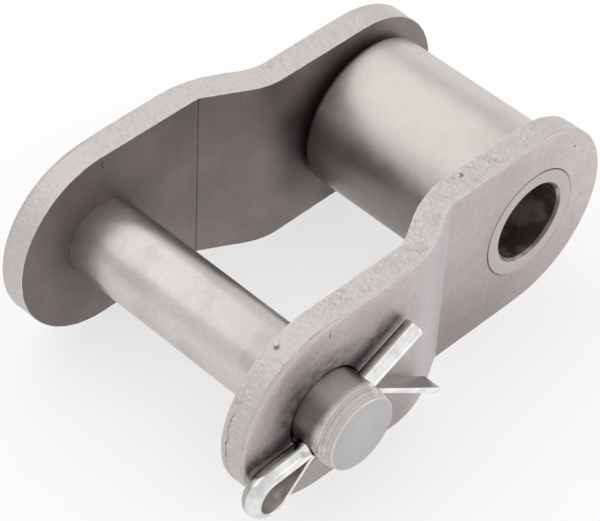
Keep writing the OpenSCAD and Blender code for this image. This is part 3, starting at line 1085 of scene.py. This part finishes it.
class CHAINLINK_OT_pin(PieceMaker, Operator):
    """Turn the pin, with its riveted head and its cross hole"""

    bl_idname = "chain_link.pin"
    bl_label = "Pin"

    def make(self, settings):
        sizes = settings.turned
        nose_r = PIN_R - sizes.nose_drop
        bm = bmesh.new()
        lathe(bm, pin_profile(sizes), PIN_X, PIN_STEPS)
        bmesh.ops.remove_doubles(bm, verts=bm.verts, dist=WELD)
        round_rings(bm, PIN_X, [(nose_r, PIN_LOW.y)], 0.08 * MM, 3)
        head_rings = [(HEAD_R, PLATE_HIGH.y + sizes.head_rim)]
        round_rings(bm, PIN_X, head_rings, 0.15 * MM, 3)
        close_up(bm)
        material = pin_steel(sizes, settings.split_pin, settings.colours)
        piece = set_piece(bm, "pin_body", [material], "link_pin")
        drill = bmesh.new()
        bmesh.ops.create_cone(
            drill,
            cap_ends=True,
            segments=64,
            radius1=sizes.cross_hole / 2,
            radius2=sizes.cross_hole / 2,
            depth=3 * PIN_R,
            matrix=split_turn(settings.split_pin)
            @ Matrix.Translation((0.0, sizes.hole_drop, 0.0))
            @ Matrix.Rotation(math.pi / 2, 4, "Y"),
        )
        cutter = bpy.data.meshes.new("cutter")
        drill.to_mesh(cutter)
        drill.free()
        cut_away(piece, cutter)
        smooth_over(piece.data, PIN_CREASE)


class WirePath:
    """Takes the end face of a wire along a path in its own XY plane."""

    def __init__(self, bm, face, place):
        self.bm = bm
        self.tip = [face] + face.edges[:] + face.verts[:]
        self.place = Vector(place)
        self.heading = 0.0

    def ahead(self, run, steps):
        way = Vector((math.cos(self.heading), math.sin(self.heading), 0.0)) * run
        self.tip = slide(self.bm, self.tip, way / steps, steps)
        self.place += way

    def bend(self, radius, turn):
        """Bends the wire to the left for a positive turn."""
        side = math.copysign(radius, turn)
        centre = self.place + Vector((-math.sin(self.heading), math.cos(self.heading), 0.0)) * side
        self.tip = bmesh.ops.spin(
            self.bm,
            geom=self.tip,
            cent=centre,
            axis=(0, 0, 1),
            angle=turn,
            steps=max(4, round(abs(math.degrees(turn)) / 5)),
        )["geom_last"]
        self.place = centre + Matrix.Rotation(turn, 3, "Z") @ (self.place - centre)
        self.heading += turn


def split_wire(sizes):
    """The split pin's half-round wire, along its legs, arms and eye."""
    leg_reach = PIN_R + sizes.straight_leg
    arm_start = PIN_R - sizes.arm_inset
    bend_start = PIN_R - sizes.bend_inset
    spread = sizes.eye_spread
    rise = sizes.eye_radius * math.cos(spread) - sizes.flare_radius * (1 - math.cos(spread))
    arm = (rise - sizes.leg_gap / 2) / math.sin(spread)
    start = Vector((-leg_reach, -sizes.leg_gap / 2, 0.0))
    bm = bmesh.new()
    bmesh.ops.create_circle(
        bm,
        cap_ends=True,
        radius=WIRE_R,
        segments=48,
        matrix=Matrix.Translation(start) @ Matrix.Rotation(math.pi / 2, 4, "Y"),
    )
    bmesh.ops.bisect_plane(
        bm, geom=whole(bm), dist=WELD, plane_co=start, plane_no=(0, 1, 0), clear_outer=True
    )
    squash = (1.0, sizes.leg_thickness / WIRE_R, 1.0)
    bmesh.ops.scale(bm, vec=squash, space=Matrix.Translation(-start), verts=bm.verts)
    corners = [vert for vert in bm.verts if abs(abs(vert.co.z) - WIRE_R) < TOUCH]
    bevel(bm, corners, sizes.wire_edge, 3, "VERTICES")
    bm.faces.ensure_lookup_table()
    path = WirePath(bm, bm.faces[0], start)
    path.ahead(leg_reach + arm_start, 12)
    path.bend(sizes.flare_radius, -spread)
    path.ahead(arm, 3)
    path.bend(sizes.eye_radius, math.pi + 2 * spread)
    path.ahead(arm, 3)
    path.bend(sizes.flare_radius, -spread)
    path.ahead(arm_start + bend_start, 6)
    path.bend(sizes.leg_bend_radius, -sizes.leg_bend)
    path.ahead(sizes.bent_leg, 8)
    close_up(bm)
    return bm


class CHAINLINK_OT_split_pin(PieceMaker, Operator):
    """Bend the split pin through the pin's cross hole"""

    bl_idname = "chain_link.split_pin"
    bl_label = "Split Pin"

    def make(self, settings):
        bm = split_wire(settings.split_pin)
        ends = [face for face in bm.faces if len(face.verts) > 4]
        if len(ends) != 2:
            raise RuntimeError("the wire has no two ends")
        for face in bm.faces:
            heights = [vert.co.z for vert in face.verts]
            face.material_index = 1 if max(heights) - min(heights) > WIRE_R else 0
        rims = list({edge for face in ends for edge in face.edges})
        bevel(bm, rims, 0.1 * MM, 2)
        bmesh.ops.transform(bm, matrix=split_turn(settings.split_pin), verts=bm.verts)
        close_up(bm)
        materials = (bright_zinc(settings.colours), dull_zinc(settings.colours))
        set_piece(bm, "split_pin_wire", materials, "split_pin")


def soft_lamp(name, place, width, height, power):
    """A large lamp that looks at the middle of the link."""
    middle = Vector((PIN_X / 2, 0.0, 0.0))
    data = bpy.data.lights.new(name, "AREA")
    data.shape = "RECTANGLE"
    data.size = width
    data.size_y = height
    data.energy = power
    lamp = add_object(name, data)
    lamp.location = place
    lamp.rotation_euler = (Vector(place) - middle).to_track_quat("Z", "Y").to_euler()


class CHAINLINK_OT_stage(Operator):
    """Lay the floor and set up the soft light and the camera"""

    bl_idname = "chain_link.stage"
    bl_label = "Stage"

    def execute(self, context):
        scene = context.scene
        bm = bmesh.new()
        level = Matrix.Translation((PIN_X / 2, 0.0, CAD_BOX[0].z))
        bmesh.ops.create_grid(bm, x_segments=2, y_segments=2, size=1.5, matrix=level)
        mesh = bpy.data.meshes.new("floor")
        bm.to_mesh(mesh)
        bm.free()
        mesh.materials.append(plain_floor(scene.chain_link.colours))
        floor = add_object("floor", mesh)

        world = bpy.data.worlds.new("soft_room")
        scene.world = world
        world.use_nodes = True
        background = world.node_tree.nodes["Background"].inputs
        background["Color"].default_value = (1.0, 1.0, 1.0, 1.0)
        background["Strength"].default_value = ROOM_LIGHT
        for name, (place, width, height, power) in LAMPS.items():
            soft_lamp(name, place, width, height, power)

        data = bpy.data.cameras.new("camera")
        data.lens = CAMERA_LENS
        data.sensor_width = 36.0
        data.clip_start = 0.01
        camera = add_object("camera", data)
        camera.location = CAMERA_PLACE
        camera.rotation_euler = Euler([math.radians(turn) for turn in CAMERA_TURN])
        scene.camera = camera
        scene.view_settings.view_transform = "Standard"
        return {"FINISHED"}


class VIEW3D_PT_chain_link(Panel):
    bl_label = "Chain Link"
    bl_space_type = "VIEW_3D"
    bl_region_type = "UI"
    bl_category = "Chain Link"

    def draw(self, context):
        settings = context.scene.chain_link
        for operator in OPERATORS:
            self.layout.operator(operator.bl_idname)
        for group in (settings.plates, settings.turned, settings.split_pin, settings.colours):
            box = self.layout.box()
            for key in group.__annotations__:
                box.prop(group, key)


GROUPS = (PlateSizes, TurnedSizes, SplitPinSizes, LinkColours, LinkSettings)
OPERATORS = (
    CHAINLINK_OT_side_plates,
    CHAINLINK_OT_bush,
    CHAINLINK_OT_roller,
    CHAINLINK_OT_pin,
    CHAINLINK_OT_split_pin,
    CHAINLINK_OT_stage,
)
CLASSES = GROUPS + OPERATORS + (VIEW3D_PT_chain_link,)


def register():
    for cls in CLASSES:
        bpy.utils.register_class(cls)
    bpy.types.Scene.chain_link = PointerProperty(type=LinkSettings)


def unregister():
    del bpy.types.Scene.chain_link
    for cls in reversed(CLASSES):
        bpy.utils.unregister_class(cls)


def main():
    register()
    bpy.ops.chain_link.side_plates()
    bpy.ops.chain_link.bush()
    bpy.ops.chain_link.roller()
    bpy.ops.chain_link.pin()
    bpy.ops.chain_link.split_pin()
    bpy.ops.chain_link.stage()


if __name__ == "__main__":
    main()
